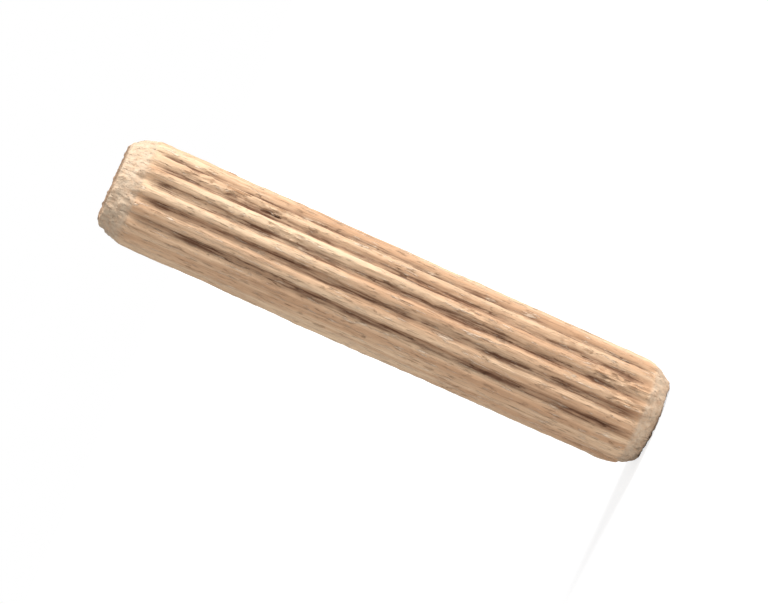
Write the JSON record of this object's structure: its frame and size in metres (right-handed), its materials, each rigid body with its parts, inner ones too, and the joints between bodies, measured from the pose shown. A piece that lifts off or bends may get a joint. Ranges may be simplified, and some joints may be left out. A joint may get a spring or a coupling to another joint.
{
  "type": "fluted dowel pin",
  "caption": "Straight hardwood dowel pin with lengthwise flutes and chamfered ends, for glued or dry woodworking joints.",
  "frame": {"origin": "In the middle of the flat sawn end the pin stands on, the one with the shorter chamfer", "axes": "+Z along the pin towards the end with the longer chamfer, -Y the side seen in the picture, -X the side with the faint flutes"},
  "size_m": [0.0096, 0.0096, 0.0508],
  "materials": {
    "wood": "bare hardwood, pressed flutes and rough chamfers, matt"
  },
  "bodies": {
    "root": {"dowel_pin": "wood"}
  },
  "joints": []
}
